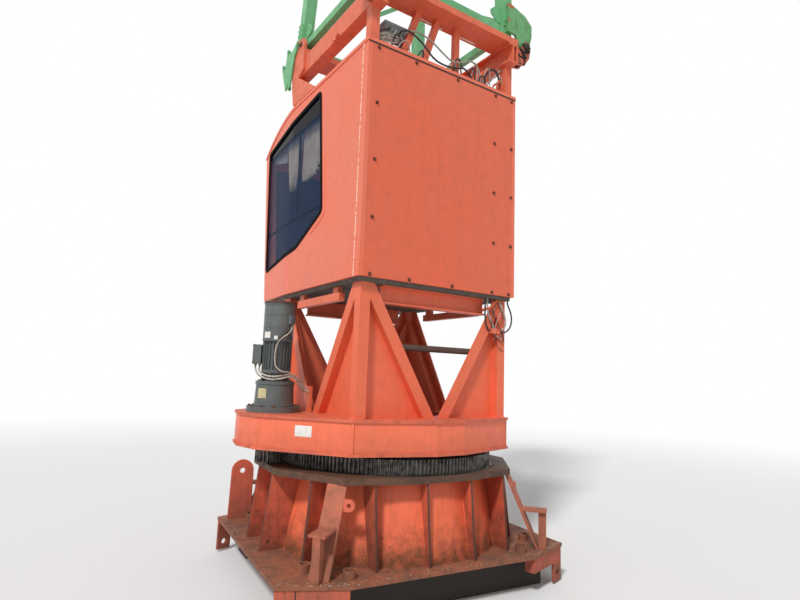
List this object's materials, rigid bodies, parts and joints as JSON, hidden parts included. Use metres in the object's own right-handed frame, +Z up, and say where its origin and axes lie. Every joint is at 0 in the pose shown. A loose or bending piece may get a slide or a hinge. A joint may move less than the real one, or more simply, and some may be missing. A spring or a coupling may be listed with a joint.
{
  "type": "tower crane",
  "caption": "Slewing unit of a tower crane: ribbed ring support with toothed slewing ring, turning deck with drive, open pedestal, cab, top frame and lattice head.",
  "frame": {"origin": "on the slewing axis, at the ground, under the middle of the stand's cross beam", "axes": "+Z up along the slewing axis, -Y towards the cab's nose and the jib side, +X towards the slewing drive"},
  "size_m": [3.018, 3.1589, 11.6147],
  "materials": {
    "orange_paint": "weathered orange-red gloss paint on steel",
    "green_paint": "weathered mint green paint on steel",
    "dark_steel": "dark grey paint, worn",
    "greased_steel": "black greased gear steel",
    "floor_plate": "grey floor plate",
    "glass": "tinted flat glass",
    "seat_cover": "dark woven seat cover",
    "cable_jacket": "black rubber cable jacket",
    "grey_paint": "machine grey paint, oily"
  },
  "bodies": {
    "base": {"stand_beams": "dark_steel", "stand_cross": "dark_steel", "base_flange": "orange_paint", "corner_feet": "orange_paint", "drum": "orange_paint", "drum_ribs": "orange_paint", "corner_bars": "orange_paint", "base_lugs": "orange_paint", "base_top": "orange_paint", "flange_sockets": "orange_paint", "toothed_ring": "greased_steel"},
    "upper": {"inner_race": "greased_steel", "deck_bottom": "orange_paint", "deck_skirt": "orange_paint", "deck_core": "orange_paint", "deck_top": "orange_paint", "pedestal_posts": "orange_paint", "pedestal_rear": "orange_paint", "pedestal_left": "orange_paint", "pedestal_front": "orange_paint", "pedestal_right": "orange_paint", "rear_tube": "dark_steel", "floor_joists": "orange_paint", "cab_floor": "floor_plate", "cab_posts": "orange_paint", "rear_wall": "orange_paint", "left_wall": "orange_paint", "right_wall": "orange_paint", "front_wall": "orange_paint", "roof": "orange_paint", "side_windows": "glass", "window_bars": "dark_steel", "windscreen": "glass", "seat": "seat_cover", "console": "grey_paint", "frame_posts": "orange_paint", "front_forks": "orange_paint", "side_beams": "orange_paint", "cross_beams": "orange_paint", "rear_lugs": "orange_paint", "roof_struts": "orange_paint", "head_foot": "green_paint", "head_brackets": "green_paint", "head_legs": "green_paint", "head_lacing_sides": "green_paint", "head_lacing_ends": "green_paint", "head_top": "green_paint", "drive_gearbox": "grey_paint", "drive_motor": "grey_paint", "terminal_box": "grey_paint", "motor_leads": "cable_jacket", "cable_clips": "orange_paint", "cable_loop_1": "cable_jacket", "cable_loop_2": "cable_jacket", "cable_loop_3": "cable_jacket", "cable_loop_4": "cable_jacket"},
    "pinion": {"pinion": "greased_steel"}
  },
  "joints": [
    {"name": "slew", "type": "hinge", "parent": "base", "child": "upper", "pos_m": [0, 0, 1.13], "axis": [0, 0, 1], "continuous": true},
    {"name": "pinion_spin", "type": "hinge", "parent": "upper", "child": "pinion", "pos_m": [1.18013, -0.13655, 1.13], "axis": [0, 0, 1], "continuous": true}
  ],
  "couplings": [
    {"joint": "pinion_spin", "follows": "slew", "ratio": 8}
  ]
}
